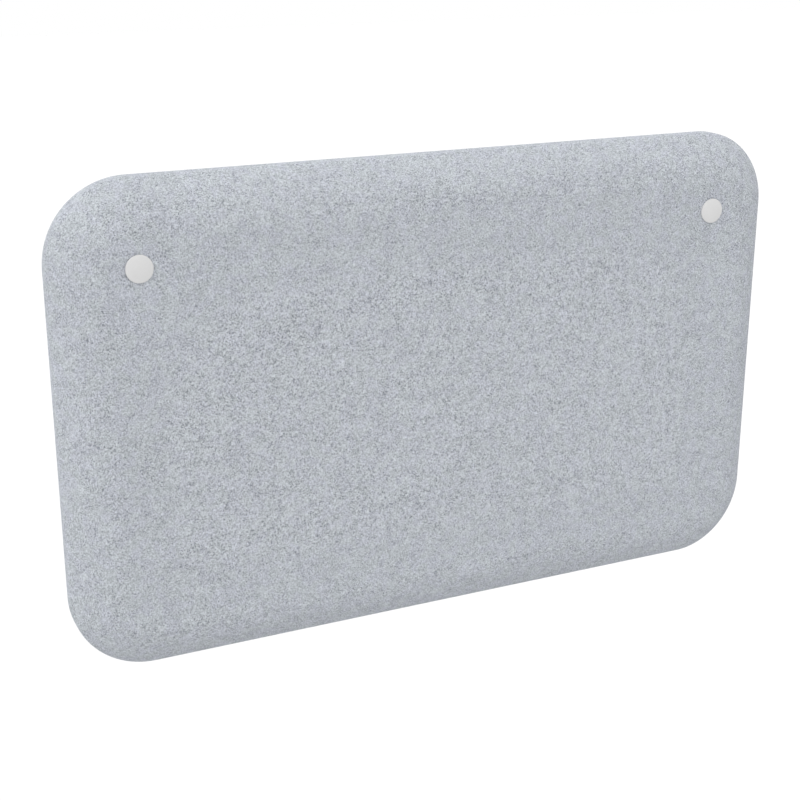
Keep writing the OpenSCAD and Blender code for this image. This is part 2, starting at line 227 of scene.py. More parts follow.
felt = {
    "ground": (0.401, 0.422, 0.487),
    "olive": (0.407, 0.445, 0.465),  # some patches lean to this
    "dark": (0.07, 0.08, 0.1),
    "pale": (0.86, 0.89, 0.94),
    "cloud": 32 * mm,  # three grains of the ground's tone, and how strongly each changes it
    "clump": 8 * mm,
    "fleck": 1.5 * mm,
    "cloudTone": 0.36,
    "clumpTone": 1.26,
    "fleckTone": 1.4,
    "olivePatch": 18 * mm,
    "oliveLevels": (0.42, 0.58),
    "thinPatch": 14 * mm,
    "thinLevels": (0.35, 0.6),
    "thinShare": 0.55,  # the share of the coarse dark fibres that a thin patch keeps
    "fibreTurns": (12, 57, 103, 148),  # degrees, the ways that the fibres lie
    "fibreEdge": 0.09,
    "fibres": (  # coarse and fine ones; each kind starts elsewhere in the noise
        {"colour": "dark", "width": 1.3 * mm, "length": 3.6 * mm, "rare": 0.61, "bend": 0.3,
         "cover": 0.84, "patchy": True, "start": 1},
        {"colour": "pale", "width": 1.2 * mm, "length": 3.6 * mm, "rare": 0.6, "bend": 0.3,
         "cover": 0.48, "patchy": False, "start": 4},
        {"colour": "dark", "width": 0.4 * mm, "length": 3.2 * mm, "rare": 0.56, "bend": 0,
         "cover": 0.2, "patchy": False, "start": 7},
        {"colour": "pale", "width": 0.35 * mm, "length": 3.2 * mm, "rare": 0.55, "bend": 0,
         "cover": 0.25, "patchy": False, "start": 9},
    ),
    "fuzz": 0.6 * mm,
    "fleckRelief": 0.8,
    "clumpRelief": 1.2,
    "relief": (0.25 * mm, 0.6),  # depth and strength
}


def strokes(tree, place, fibre):  # short strokes that lie every way
    total = 0.0
    start, width = fibre["start"], fibre["width"]
    for k, turn in enumerate(felt["fibreTurns"]):
        laid = shifted(tree, place, (start + 2 * k, start, 3 * k), (fibre["length"] / width, 1, 1),
                       turn + 7 * start)
        field = grain(tree, laid, width, detail=0, warp=fibre["bend"])
        stroke = ramp(tree, field, fibre["rare"], fibre["rare"] + felt["fibreEdge"])
        total = calc(tree, "MAXIMUM", total, stroke)
    return total


def feltMaterial(name):
    made, tree, shader, place = newMaterial(name, **{
        "Roughness": 0.95, "Specular IOR Level": 0.03})
    cloud = grain(tree, place, felt["cloud"])
    clump = grain(tree, shifted(tree, place, (1, 5, 2)), felt["clump"], detail=3, rough=0.8)
    fleck = grain(tree, shifted(tree, place, (6, 4, 2)), felt["fleck"], detail=1, rough=0.8)
    fuzz = grain(tree, shifted(tree, place, (2, 2, 7)), felt["fuzz"], rough=0.7)
    olive = grain(tree, shifted(tree, place, (3, 1, 2)), felt["olivePatch"])
    olive = ramp(tree, olive, *felt["oliveLevels"])
    thin = grain(tree, shifted(tree, place, (9, 7, 8)), felt["thinPatch"])
    thin = ramp(tree, thin, *felt["thinLevels"], felt["thinShare"], 1.0)
    tone = varied(tree, 1.0, clump, felt["clumpTone"])
    tone = varied(tree, tone, fleck, felt["fleckTone"])
    tone = varied(tree, tone, cloud, felt["cloudTone"])
    colour = tinted(tree, blendColour(tree, olive, felt["ground"], felt["olive"]), tone)
    for fibre in felt["fibres"]:
        amount = strokes(tree, place, fibre)
        if fibre["patchy"]:
            amount = calc(tree, "MULTIPLY", amount, thin)
        amount = calc(tree, "MULTIPLY", amount, fibre["cover"])
        colour = blendColour(tree, amount, colour, felt[fibre["colour"]])
    height = calc(tree, "MULTIPLY_ADD", fleck, felt["fleckRelief"], fuzz)
    height = calc(tree, "MULTIPLY_ADD", clump, felt["clumpRelief"], height)
    dress(tree, shader, colour, None, height, *felt["relief"])
    return made


plastic = {
    "light": (0.69, 0.69, 0.692),
    "warm": (0.665, 0.663, 0.66),
    "cloud": 9 * mm,
    "spark": 0.35 * mm,  # the mould's fine matte texture
    "sparkLevels": (0.3, 0.7),
    "roughness": (0.44, 0.58),
    "relief": (0.02 * mm, 0.5),
}


def plasticMaterial(name):
    made, tree, shader, place = newMaterial(name)
    cloud = grain(tree, place, plastic["cloud"], detail=3)
    spark = grain(tree, shifted(tree, place, (1, 2, 3)), plastic["spark"])
    colour = blendColour(tree, cloud, plastic["light"], plastic["warm"])
    roughness = ramp(tree, spark, *plastic["sparkLevels"], *plastic["roughness"])
    dress(tree, shader, colour, roughness, spark, *plastic["relief"])
    return made


zinc = {
    "mark": 0.25 * mm,  # turning marks round the fixing's axis
    "markLevels": (0.35, 0.65),
    "markShades": (0.88, 1.04),
    "markRoughness": 0.14,
    "spangle": 3 * mm,
    "spangleShade": 0.82,
    "spangleRoughness": 0.16,
    "relief": (0.02 * mm, 0.8),
}


def steelMaterial(name, tint, roughness):  # zinc plated and turned
    made, tree, shader, place = newMaterial(name, Metallic=1.0)
    parts = addNode(tree, "ShaderNodeSeparateXYZ", {0: place}).outputs
    across = calc(tree, "SUBTRACT", calc(tree, "ABSOLUTE", parts["X"]), fixingX)
    radius = calc(tree, "SQRT", calc(tree, "ADD", calc(tree, "MULTIPLY", across, across),
                                     calc(tree, "MULTIPLY", parts["Z"], parts["Z"])))
    around = addNode(tree, "ShaderNodeCombineXYZ", {0: radius, 1: parts["Y"]}).outputs[0]
    marks = grain(tree, around, zinc["mark"], detail=3, rough=0.6)
    spangle = grain(tree, place, zinc["spangle"], detail=4, rough=0.6)
    colour = blendColour(tree, spangle, tint, [c * zinc["spangleShade"] for c in tint])
    colour = tinted(tree, colour, ramp(tree, marks, *zinc["markLevels"], *zinc["markShades"]))
    rough = calc(tree, "MULTIPLY_ADD", spangle, zinc["spangleRoughness"], roughness)
    rough = varied(tree, rough, marks, zinc["markRoughness"])
    dress(tree, shader, colour, rough, marks, *zinc["relief"])
    return made


birch = {
    "veneer": ((0.60, 0.44, 0.26), (0.74, 0.59, 0.38)),
    "crossPly": ((0.50, 0.35, 0.2), (0.6, 0.44, 0.27)),
    "longPly": ((0.62, 0.47, 0.29), (0.72, 0.57, 0.38)),
    "grain": 5 * mm,
    "grainRun": 20,  # how many times longer than wide
    "grainLevels": (0.3, 0.7),
    "faceLevels": (0.4, 0.6),  # how far a face looks to the front or back before it shows veneer
    "twoPlies": 2.8 * mm,
    "plyLevels": (0.47, 0.53),
    "glueShare": 0.05,  # of two plies
    "glueShade": 0.75,
    "roughness": (0.5, 0.68),
    "relief": (0.08 * mm, 0.5),
}


def plywoodMaterial(name):
    made, tree, shader, place = newMaterial(name)
    parts = addNode(tree, "ShaderNodeSeparateXYZ", {0: place}).outputs
    normal = addNode(tree, "ShaderNodeNewGeometry").outputs["Normal"]
    facing = calc(tree, "ABSOLUTE", addNode(tree, "ShaderNodeSeparateXYZ", {0: normal}).outputs["Y"])
    run = birch["grainRun"]
    along = grain(tree, shifted(tree, place, (0, 0, 0), (run, 1, 1)), birch["grain"], detail=4, rough=0.6)
    crossed = grain(tree, shifted(tree, place, (4, 0, 1), (1, 1, run)), birch["grain"], detail=4, rough=0.6)
    ply = calc(tree, "FRACT", calc(tree, "MULTIPLY", parts["Y"], 1 / birch["twoPlies"]))
    fromGlue = calc(tree, "ABSOLUTE", calc(tree, "SUBTRACT", ply, 0.5))
    glue = ramp(tree, fromGlue, 0.0, birch["glueShare"], birch["glueShade"], 1.0)
    crossPly = blendColour(tree, crossed, *birch["crossPly"])
    longPly = blendColour(tree, along, *birch["longPly"])
    edge = blendColour(tree, ramp(tree, ply, *birch["plyLevels"]), crossPly, longPly)
    edge = tinted(tree, edge, glue)
    veneer = blendColour(tree, along, *birch["veneer"])
    colour = blendColour(tree, ramp(tree, facing, *birch["faceLevels"]), edge, veneer)
    roughness = ramp(tree, along, *birch["grainLevels"], *birch["roughness"])
    dress(tree, shader, colour, roughness, along, *birch["relief"])
    return made


beech = {
    "streaks": ((0.50, 0.33, 0.18), (0.66, 0.48, 0.30)),
    "streak": 1.6 * mm,
    "flecks": (0.3, 0.18, 0.09),
    "fleck": 0.8 * mm,
    "fleckLevels": (0.6, 0.72),
    "fleckCover": 0.5,
    "relief": (0.05 * mm, 0.5),
}


def woodMaterial(name):
    made, tree, shader, place = newMaterial(name, Roughness=0.62)
    streak = grain(tree, place, beech["streak"], detail=4, rough=0.65)
    fleck = grain(tree, shifted(tree, place, (3, 3, 3)), beech["fleck"])
    fleck = ramp(tree, fleck, *beech["fleckLevels"])
    colour = blendColour(tree, streak, *beech["streaks"])
    colour = blendColour(tree, calc(tree, "MULTIPLY", fleck, beech["fleckCover"]), colour, beech["flecks"])
    dress(tree, shader, colour, None, streak, *beech["relief"])
    return made


strand = {
    "width": 0.1,
    "bend": 1.2,
    "cover": 0.35,
    "tuft": 3,  # tufts and relief are so many strands wide and deep
    "tuftShade": 0.88,
    "relief": 0.15,
    "strength": 0.7,
}


def fibreMaterial(name, ground, dark, size, sheen):  # pressed board, fleece or cotton
    made, tree, shader, place = newMaterial(name, **{
        "Roughness": 0.95, "Specular IOR Level": 0.2, "Sheen Weight": sheen})
    field = grain(tree, shifted(tree, place, (1, 2, 3)), size, detail=0.6, warp=strand["bend"])
    away = calc(tree, "ABSOLUTE", calc(tree, "SUBTRACT", field, 0.5))
    lines = ramp(tree, away, 0.0, strand["width"], 1.0, 0.0)  # thin lines that wander
    tuft = grain(tree, place, size * strand["tuft"], detail=3, rough=0.6)
    colour = blendColour(tree, tuft, [c * strand["tuftShade"] for c in ground], ground)
    colour = blendColour(tree, calc(tree, "MULTIPLY", lines, strand["cover"]), colour, dark)
    height = calc(tree, "ADD", lines, tuft)
    dress(tree, shader, colour, None, height, size * strand["relief"], strand["strength"])
    return made


finishes = {
    "felt_cover": feltMaterial("melange_felt"),
    "cap_plastic": plasticMaterial("warm_white_plastic"),
    "plated_steel": steelMaterial("zinc_satin", tint=(0.6, 0.615, 0.64), roughness=0.26),
    "screw_steel": steelMaterial("zinc_bright", tint=(0.55, 0.56, 0.575), roughness=0.2),
    "frame_board": plywoodMaterial("birch_plywood"),
    "dowel_wood": woodMaterial("turned_beech"),
    "absorber_board": fibreMaterial("pressed_fibre", ground=(0.42, 0.44, 0.47), dark=(0.16, 0.17, 0.19),
                                    size=1.4 * mm, sheen=0.05),
    "pad_fleece": fibreMaterial("soft_fleece", ground=(0.84, 0.84, 0.8), dark=(0.6, 0.6, 0.57),
                                size=2.2 * mm, sheen=0.3),
    "hem_cord": fibreMaterial("twisted_cotton", ground=(0.6, 0.61, 0.64), dark=(0.4, 0.41, 0.44),
                              size=0.6 * mm, sheen=0.2),
}
print("finishes made:", len(finishes))

# Making and placing pieces

sharpAngle = 35  # degrees, the least bend that shows as an edge
weld = 0.002 * mm


def smooth(mesh, sharp=sharpAngle):
    mesh.shade_smooth()
    mesh.set_sharp_from_angle(angle=math.radians(sharp))


def addPiece(name, vertices, faces, slot, body, nodes):
    mesh = bpy.data.meshes.new(name)
    mesh.from_pydata([tuple(v) for v in vertices], [], faces)
    mesh.validate()
    smooth(mesh)
    mesh.materials.append(finishes[slot])
    piece = bpy.data.objects.new(name, mesh)
    bpy.context.scene.collection.objects.link(piece)
    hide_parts(*nodes)
    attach(piece, body)
    return piece


def applyModifier(piece, kind, **settings):
    modifier = piece.modifiers.new(kind.lower(), kind)
    for key, value in settings.items():
        setattr(modifier, key, value)
    bpy.context.view_layer.objects.active = piece
    with bpy.context.temp_override(object=piece, active_object=piece):
        bpy.ops.object.modifier_apply(modifier=modifier.name)


# The panel's form, which the covers and the pads share

panel = {
    "cornerRadius": 123 * mm,
    "rollWidth": 82 * mm,
    "rollRise": 34 * mm,
    "rollPower": 2.5,  # 2 is a parabola
    "edgeRadius": 4 * mm,
    "rollSteps": 20,
    "edgeSteps": 4,
    "blockCells": 12,  # cells across a corner's inner radius
    "flatCell": 12 * mm,
}
rollFoot = faceHeight - panel["rollRise"]
flatRadius = panel["cornerRadius"] - panel["rollWidth"]


def stillToRun(inset):
    return max(1 - inset / panel["rollWidth"], 0)


def rollHeight(inset):
    return rollFoot + panel["rollRise"] * (1 - stillToRun(inset) ** panel["rollPower"])


def rollSlope(inset):
    steepest = panel["rollRise"] * panel["rollPower"] / panel["rollWidth"]
    return math.atan(steepest * stillToRun(inset) ** (panel["rollPower"] - 1))


edgeTurn = math.pi / 2 - rollSlope(0)
edgeCentre = rollFoot - panel["edgeRadius"] * math.tan(edgeTurn / 2)
edgeEnd = panel["edgeRadius"] * (1 - math.cos(edgeTurn))


def rollSection(inwards, firstTurn=0.0):  # (inset, height) from the band to the flat, set in by a skin
    radius = panel["edgeRadius"] - inwards
    points = []
    for turn in np.linspace(firstTurn, edgeTurn, panel["edgeSteps"] + 1):
        points.append((panel["edgeRadius"] - radius * math.cos(turn), edgeCentre + radius * math.sin(turn)))
    for inset in np.linspace(edgeEnd, panel["rollWidth"], panel["rollSteps"] + 1)[1:]:
        slope = rollSlope(inset)
        points.append((inset + inwards * math.sin(slope), rollHeight(inset) - inwards * math.cos(slope)))
    return points


def gridLines(half):  # even cells beside the corners, wider ones between
    cells = panel["blockCells"] * 2
    inner = half - 2 * flatRadius
    between = np.linspace(-inner, inner, round(2 * inner / panel["flatCell"]) + 1)
    return np.concatenate([np.linspace(-half, -inner, cells + 1)[:-1], between,
                           np.linspace(inner, half, cells + 1)[1:]])


def roundCorner(u, v, centreU, centreV):  # draws a corner's square cells onto its arc
    a, b = abs(u) - centreU, abs(v) - centreV
    if a <= 0 or b <= 0:
        return u, v
    reach = max(a, b)
    turn = math.pi / 4 * (b / a if a >= b else 2 - a / b)
    share = (reach / flatRadius) ** 2
    a = (1 - share) * a + share * reach * math.cos(turn)
    b = (1 - share) * b + share * reach * math.sin(turn)
    return math.copysign(centreU + a, u), math.copysign(centreV + b, v)


def faceLayer(section, flatLevel, seat):
    us = gridLines(halfWidth - panel["rollWidth"])
    vs = gridLines(halfHeight - panel["rollWidth"])
    centreU, centreV = us[-1] - flatRadius, vs[-1] - flatRadius
    block = panel["blockCells"] * 2
    lastI, lastJ = len(us) - 1, len(vs) - 1
    vertices, faces, index = [], [], {}

    for i in range(lastI + 1):
        for j in range(lastJ + 1):
            inside = lastJ - block < j < lastJ and (0 < i < block or lastI - block < i < lastI)
            if not inside:
                index[i, j] = len(vertices)
                vertices.append((*roundCorner(us[i], vs[j], centreU, centreV), flatLevel))
    for i in range(lastI):
        for j in range(lastJ):
            corner = [(i, j), (i + 1, j), (i + 1, j + 1), (i, j + 1)]
            hole = j >= lastJ - block and (i < block or i >= lastI - block)
            if not hole:
                faces.append([index[c] for c in corner])
    holeLoops = []
    for side, firstI in ((-1, 0), (1, lastI - block)):
        holeLoops.append(addSeat(vertices, faces, index, seat, side, firstI, lastJ - block))
    edge = ([(i, 0) for i in range(lastI)] + [(lastI, j) for j in range(lastJ)] +
            [(i, lastJ) for i in range(lastI, 0, -1)] + [(0, j) for j in range(lastJ, 0, -1)])
    loop = [index[c] for c in edge]
    rim = [vertices[k] for k in loop]
    outward = []
    for u, v, _ in rim:
        a, b = max(abs(u) - centreU, 0), max(abs(v) - centreV, 0)
        length = math.hypot(a, b)
        outward.append((math.copysign(a / length, u), math.copysign(b / length, v)))
    for inset, height in reversed(section):
        out = panel["rollWidth"] - inset
        ring = []
        for (u, v, _), (nu, nv) in zip(rim, outward):
            ring.append(len(vertices))
            vertices.append((u + nu * out, v + nv * out, height))
        faces += bridge(loop, ring)
        loop = ring
    return vertices, faces, holeLoops


def bridge(inner, outer):  # faces between two closed loops, the outer one further from the middle
    count = len(inner)
    return [(inner[k], outer[k], outer[(k + 1) % count], inner[(k + 1) % count]) for k in range(count)]


def addSeat(vertices, faces, index, seat, side, firstI, firstJ):  # rings from a fixing's hole to its block
    size = panel["blockCells"] * 2
    half = size // 2
    edge = ([(size, j) for j in range(half, size)] + [(i, size) for i in range(size, 0, -1)] +
            [(0, j) for j in range(size, 0, -1)] + [(i, 0) for i in range(size)] +
            [(size, j) for j in range(half)])
    loop = [index[firstI + i, firstJ + j] for i, j in edge]
    turns = [math.pi / 4 * k / half for k in range(len(loop))]
    ring = loop
    for radius, height in reversed(seat):
        inner = []
        for turn in turns:
            inner.append(len(vertices))
            vertices.append((side * fixingX + radius * math.cos(turn),
                             fixingZ - centreZ + radius * math.sin(turn), height))
        faces += bridge(inner, ring)
        ring = inner
    return ring


def placed(vertices, facing):  # from (across, up, height) to the frame
    return [(u, middle + facing * h, v + centreZ) for u, v, h in vertices]


def flipped(faces):
    return [tuple(reversed(f)) for f in faces]


def closeNormals(piece):  # turns every face of a closed piece outwards
    work = bmesh.new()
    work.from_mesh(piece.data)
    bmesh.ops.remove_doubles(work, verts=work.verts, dist=weld)
    bmesh.ops.dissolve_degenerate(work, edges=work.edges, dist=weld)
    bmesh.ops.recalc_face_normals(work, faces=work.faces)
    work.to_mesh(piece.data)
    work.free()
    smooth(piece.data)


# Covers: stretched felt with its hem turned into the seam, drawn down at the fixings

cover = {
    "thickness": 1.5 * mm,
    "halfSeam": 0.2 * mm,
    "lipRadius": 1.8 * mm,
    "hemEnd": 6.7 * mm,
    "hemSteps": 3,
    "lipSteps": 5,
    "bandSteps": 3,
    "sharp": 40,  # degrees
    "holeRadius": 10.7 * mm,
    "seatRadius": capRadius - 0.8 * mm,
    "seatDepth": 1.2 * mm,
    "drawRadius": capRadius + 12 * mm,  # where the felt is level again
    "drawPower": 3.6,
    "seatSteps": (0, 0.24, 0.5, 0.76, 1),  # shares of the way from the hole to the seat's edge
    "drawSteps": (0.8, 1.8, 2.8, 4, 5.4, 7, 8.8, 10.8, 13.3, 17),  # mm past the seat's edge
    "heldWidth": 20 * mm,  # inwards from the outline
    "heldPast": 0.1 * mm,  # round a seat
    "frames": 10,
    "quality": 3,
    "stiffness": 15,
    "bending": 1,
    "damping": 2,
    "shrink": 0.002,
    "pressure": 0.5,
    "kept": 0.13,  # the share of the simulated travel that is kept, as the fleece is firm
    "mostSunk": 0.12 * mm,
    "mostRaised": 0.9 * mm,
}


def seatLevel(radius):  # height of the felt near a fixing
    left = (cover["drawRadius"] - radius) / (cover["drawRadius"] - cover["seatRadius"])
    return faceHeight - cover["seatDepth"] * min(max(left, 0), 1) ** cover["drawPower"]


def seatRings():  # radii round a fixing, from its hole outwards
    hole, edge = cover["holeRadius"], cover["seatRadius"]
    seat = [hole + (edge - hole) * share for share in cover["seatSteps"]]
    return seat + [edge + past * mm for past in cover["drawSteps"]]


def coverSection():  # (inset, height) from the hem's edge round the lip and up the band to the flat
    lip, low = cover["lipRadius"], cover["halfSeam"]
    hem = [(inset, low) for inset in np.linspace(cover["hemEnd"], lip, cover["hemSteps"] + 1)]
    turns = np.linspace(0, math.pi / 2, cover["lipSteps"] + 1)[1:]
    rolled = [(lip - lip * math.sin(turn), low + lip - lip * math.cos(turn)) for turn in turns]
    band = [(0, height) for height in np.linspace(low + lip, edgeCentre, cover["bandSteps"] + 1)[1:]]
    return hem + rolled + band + rollSection(0)[1:]


def insetOf(u, v):  # how far points of the panel's plane lie inside its outline
    a = np.abs(u) - (halfWidth - panel["cornerRadius"])
    b = np.abs(v) - (halfHeight - panel["cornerRadius"])
    corner = np.hypot(np.maximum(a, 0), np.maximum(b, 0))
    return panel["cornerRadius"] - np.where((a > 0) | (b > 0), corner, np.maximum(a, b))


def settleFelt(piece):  # a short cloth simulation: the fleece swells the felt, which its seats hold down
    count = len(piece.data.vertices)
    start, outward, moved = (np.zeros(count * 3) for _ in range(3))
    piece.data.vertices.foreach_get("co", start)
    piece.data.vertices.foreach_get("normal", outward)
    start, outward = start.reshape(-1, 3), outward.reshape(-1, 3)
    reach = np.hypot(np.abs(start[:, 0]) - fixingX, start[:, 2] - fixingZ)
    firm = np.clip(1 - insetOf(start[:, 0], start[:, 2] - centreZ) / cover["heldWidth"], 0, 1)
    firm[reach < cover["seatRadius"] + cover["heldPast"]] = 1
    group = piece.vertex_groups.new(name="held")
    for level in np.unique(np.round(firm, 1)):
        group.add(np.nonzero(np.round(firm, 1) == level)[0].tolist(), float(level), "REPLACE")
    cloth = piece.modifiers.new("settle", "CLOTH")
    give = cloth.settings
    give.quality = cover["quality"]
    give.tension_stiffness = give.compression_stiffness = cover["stiffness"]
    give.shear_stiffness = cover["stiffness"] / 2
    give.bending_stiffness = cover["bending"]
    give.air_damping = cover["damping"]
    give.shrink_min = cover["shrink"]
    give.use_pressure = True
    give.uniform_pressure_force = cover["pressure"]
    give.vertex_group_mass = "held"
    give.effector_weights.gravity = 0
    cloth.collision_settings.use_collision = False
    cloth.point_cache.frame_start, cloth.point_cache.frame_end = 1, cover["frames"]
    for step in range(1, cover["frames"] + 1):
        bpy.context.scene.frame_set(step)
    settled = piece.evaluated_get(bpy.context.evaluated_depsgraph_get())
    settled.data.vertices.foreach_get("co", moved)
    travel = (moved.reshape(-1, 3) - start) * cover["kept"]
    rise = (travel * outward).sum(axis=1)
    within = np.clip(rise, -cover["mostSunk"], cover["mostRaised"])
    print("  felt settled by", round(within.min() / mm, 2), "to", round(within.max() / mm, 2), "mm")
    travel += outward * (within - rise)[:, None]
    piece.modifiers.remove(cloth)
    piece.vertex_groups.clear()
    piece.data.vertices.foreach_set("co", (start + travel).ravel())
    bpy.context.scene.frame_set(1)


def addCover(name, facing):
    section = coverSection()
    seat = [(r, seatLevel(r)) for r in seatRings()]
    vertices, faces, _ = faceLayer(section[:-1], faceHeight, seat)
    if facing > 0:
        faces = flipped(faces)
    piece = addPiece("felt_" + name, placed(vertices, facing), faces, "felt_cover", "panel", [name])
    settleFelt(piece)
    applyModifier(piece, "SOLIDIFY", thickness=cover["thickness"], offset=-1, use_even_offset=True)
    smooth(piece.data, cover["sharp"])


addCover("front_cover", -1)
addCover("rear_cover", 1)
print("covers stretched")

# Pads: crowned fleece between the boards and the felt

pad = {
    "skin": 1.7 * mm,  # the felt and its slack
    "boardHalf": 9 * mm,
    "pocketRadius": 24.2 * mm,
    "pocketDepth": 5.6 * mm,
    "pocketWall": 0.05 * mm,
    "pocketClear": 1 * mm,
}


def addPad(name, facing, pocket):
    firstTurn = math.asin((pad["boardHalf"] - edgeCentre) / (panel["edgeRadius"] - pad["skin"]))
    section = rollSection(pad["skin"], firstTurn)
    seat = [(r, seatLevel(r) - pad["skin"]) for r in seatRings()]
    vertices, faces, holes = faceLayer(section[:-1], faceHeight - pad["skin"], seat)
    foot = pad["boardHalf"]
    under = [(r, foot) for r in seatRings()]
    if pocket:  # room for the plate on the board
        edge, roof = pad["pocketRadius"], foot + pad["pocketDepth"]
        within = [(r, roof) for r in seatRings() if r < edge]
        beyond = [(r, foot) for r in seatRings() if r > edge + pad["pocketClear"]]
        under = within + [(edge, roof), (edge + pad["pocketWall"], foot)] + beyond
    flatSection = [(inset, foot) for inset, _ in section[:-1]]
    lowVertices, lowFaces, lowHoles = faceLayer(flatSection, foot, under)
    shift = len(vertices)
    faces += [tuple(k + shift for k in reversed(f)) for f in lowFaces]
    for high, low in zip(holes, lowHoles):
        faces += bridge([k + shift for k in low], high)
    piece = addPiece("fleece_" + name, placed(vertices + lowVertices, facing), faces,
                     "pad_fleece", "panel", [name])
    closeNormals(piece)


addPad("front_pad", -1, pocket=False)
addPad("rear_pad", 1, pocket=True)
print("pads laid")

# Absorber boards and the cord in the edge groove

core = {
    "edgeRound": 1.2 * mm,
    "edgeSteps": 3,
}


def addCore(side):
    low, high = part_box(side + "_core")
    blockLow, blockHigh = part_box("top_" + side + "_block")
    stileLow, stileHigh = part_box(side + "_stile")
    way = sides[side]
    outer, near = (low.x, high.x) if way < 0 else (high.x, low.x)
    slack = low.x - stileHigh.x if way < 0 else stileLow.x - high.x
    notchX = (blockHigh.x if way < 0 else blockLow.x) - way * slack
    notchUp = blockLow.z - slack
    notchDown = 2 * centreZ - notchUp
    outline = [(near, low.z), (near, high.z), (notchX, high.z), (notchX, notchUp), (outer, notchUp),
               (outer, notchDown), (notchX, notchDown), (notchX, low.z)]
    count = len(outline)
    vertices = [(x, y, z) for y in (low.y, high.y) for x, z in outline]
    faces = [tuple(range(count)), tuple(range(2 * count - 1, count - 1, -1))]
    faces += [(k, (k + 1) % count, (k + 1) % count + count, k + count) for k in range(count)]
    piece = addPiece("pressed_" + side + "_core", vertices, faces, "absorber_board", "panel",
                     [side + "_core"])
    applyModifier(piece, "BEVEL", width=core["edgeRound"], segments=core["edgeSteps"],
                  limit_method="ANGLE")
    closeNormals(piece)


for side in sides:
    addCore(side)

cord = {
    "inset": 8.7 * mm,
    "radius": 1.8 * mm,
    "lobes": 3,
    "lobeDepth": 0.2,
    "lay": 14 * mm,  # length of one turn of the twist
    "step": 1.6 * mm,
    "sidesRound": 15,
}


def loopPath(inset, step):  # (across, up, outward across, outward up) round the panel's outline
    radius = panel["cornerRadius"] - inset
    centreU, centreV = halfWidth - panel["cornerRadius"], halfHeight - panel["cornerRadius"]
    path = []
    for corner, (signU, signV) in enumerate(((1, 1), (-1, 1), (-1, -1), (1, -1))):
        steps = round(radius * math.pi / 2 / step)
        for k in range(steps + 1):
            turn = math.pi / 2 * (corner + k / steps)
            nu, nv = math.cos(turn), math.sin(turn)
            path.append((signU * centreU + radius * nu, signV * centreV + radius * nv, nu, nv))
        run = 2 * (centreU if corner % 2 == 0 else centreV)
        steps = round(run / step)
        u, v, nu, nv = path[-1]
        for k in range(1, steps):
            path.append((u - nv * run * k / steps, v + nu * run * k / steps, nu, nv))
    return path


def addHemCord():
    path = loopPath(cord["inset"], cord["step"])
    steps = [math.dist(path[k][:2], path[k - 1][:2]) for k in range(len(path))]
    twists = round(sum(steps) / cord["lay"])
    vertices, faces = [], []
    count, along = cord["sidesRound"], 0.0
    for k, (u, v, nu, nv) in enumerate(path):
        along += steps[k] if k else 0
        twist = 2 * math.pi * twists * along / sum(steps)
        for turn in np.arange(count) * 2 * math.pi / count:
            lobe = abs(math.cos(cord["lobes"] / 2 * (turn + twist)))
            radius = cord["radius"] * (1 - cord["lobeDepth"] * (1 - lobe))
            out, high = radius * math.cos(turn), radius * math.sin(turn)
            vertices.append((u + nu * out, v + nv * out, high))
    rings = len(path)
    for k in range(rings):
        for n in range(count):
            a, b = k * count + n, k * count + (n + 1) % count
            c, d = (k + 1) % rings * count + (n + 1) % count, (k + 1) % rings * count + n
            faces.append((a, b, c, d))
    piece = addPiece("twisted_hem_cord", placed(vertices, -1), faces, "hem_cord", "panel", ["hem_cord"])
    closeNormals(piece)


addHemCord()
print("cores and hem cord placed")

# Turned pieces round the fixings' axes

roundSteps = 4  # in each rounded corner of a profile


def evenTurns(count):
    return [2 * math.pi * k / count for k in range(count)]


def roundedProfile(corners):  # corners are (radius, height, rounding); each is drawn as an arc
    points = []
    last = len(corners) - 1
    for k, (r, h, rounding) in enumerate(corners):
        if rounding == 0:
            points.append((r, h))
            continue
        tip = np.array([r, h])
        into = np.array(corners[k - 1][:2]) - tip
        out = np.array(corners[k + 1 if k < last else 0][:2]) - tip
        start = tip + into / np.linalg.norm(into) * rounding
        end = tip + out / np.linalg.norm(out) * rounding
        for t in np.linspace(0, 1, roundSteps + 1):
            points.append(tuple((1 - t) ** 2 * start + 2 * t * (1 - t) * tip + t ** 2 * end))
    return points


def addTurned(node, side, level, profile, slot, turns, ring=False, body="panel", prefix="turned_"):
    vertices, faces, rows = [], [], []
    axis = sides[side] * fixingX
    for radius, height in profile:
        if radius == 0:
            rows.append([len(vertices)])
            vertices.append((axis, level - height, fixingZ))
            continue
        row = []
        for turn in turns:
            reach = radius(turn) if callable(radius) else radius
            row.append(len(vertices))
            vertices.append((axis + reach * math.cos(turn), level - height,
                             fixingZ + reach * math.sin(turn)))
        rows.append(row)
    count = len(turns)
    pairs = list(zip(rows, rows[1:])) + ([(rows[-1], rows[0])] if ring else [])
    for first, second in pairs:
        for k in range(count):
            after = (k + 1) % count
            if len(first) == 1:
                faces.append((first[0], second[after], second[k]))
            elif len(second) == 1:
                faces.append((first[k], first[after], second[0]))
            else:
                faces.append((first[k], first[after], second[after], second[k]))
    piece = addPiece(prefix + node, vertices, faces, slot, body, [node])
    closeNormals(piece)
    return piece


thread = {
    "rowsPerPitch": 8,
    "flatShare": 0.15,  # of a flank's run, flat at its root and again at its crest
}


def threadRows(core, deep, pitch, start, end):  # rows of a helical thread between two heights
    flat = thread["flatShare"]
    count = round(abs(end - start) / pitch * thread["rowsPerPitch"])
    rows = []
    for height in np.linspace(start, end, count + 1):
        fade = min(1, abs(height - start) / pitch, abs(height - end) / pitch)

        def radius(turn, height=height, fade=fade):
            wave = abs(2 * ((height / pitch - turn / (2 * math.pi)) % 1) - 1)
            return core + deep * fade * min(max((wave - flat) / (1 - 2 * flat), 0), 1)
        rows.append((radius, height))
    return rows


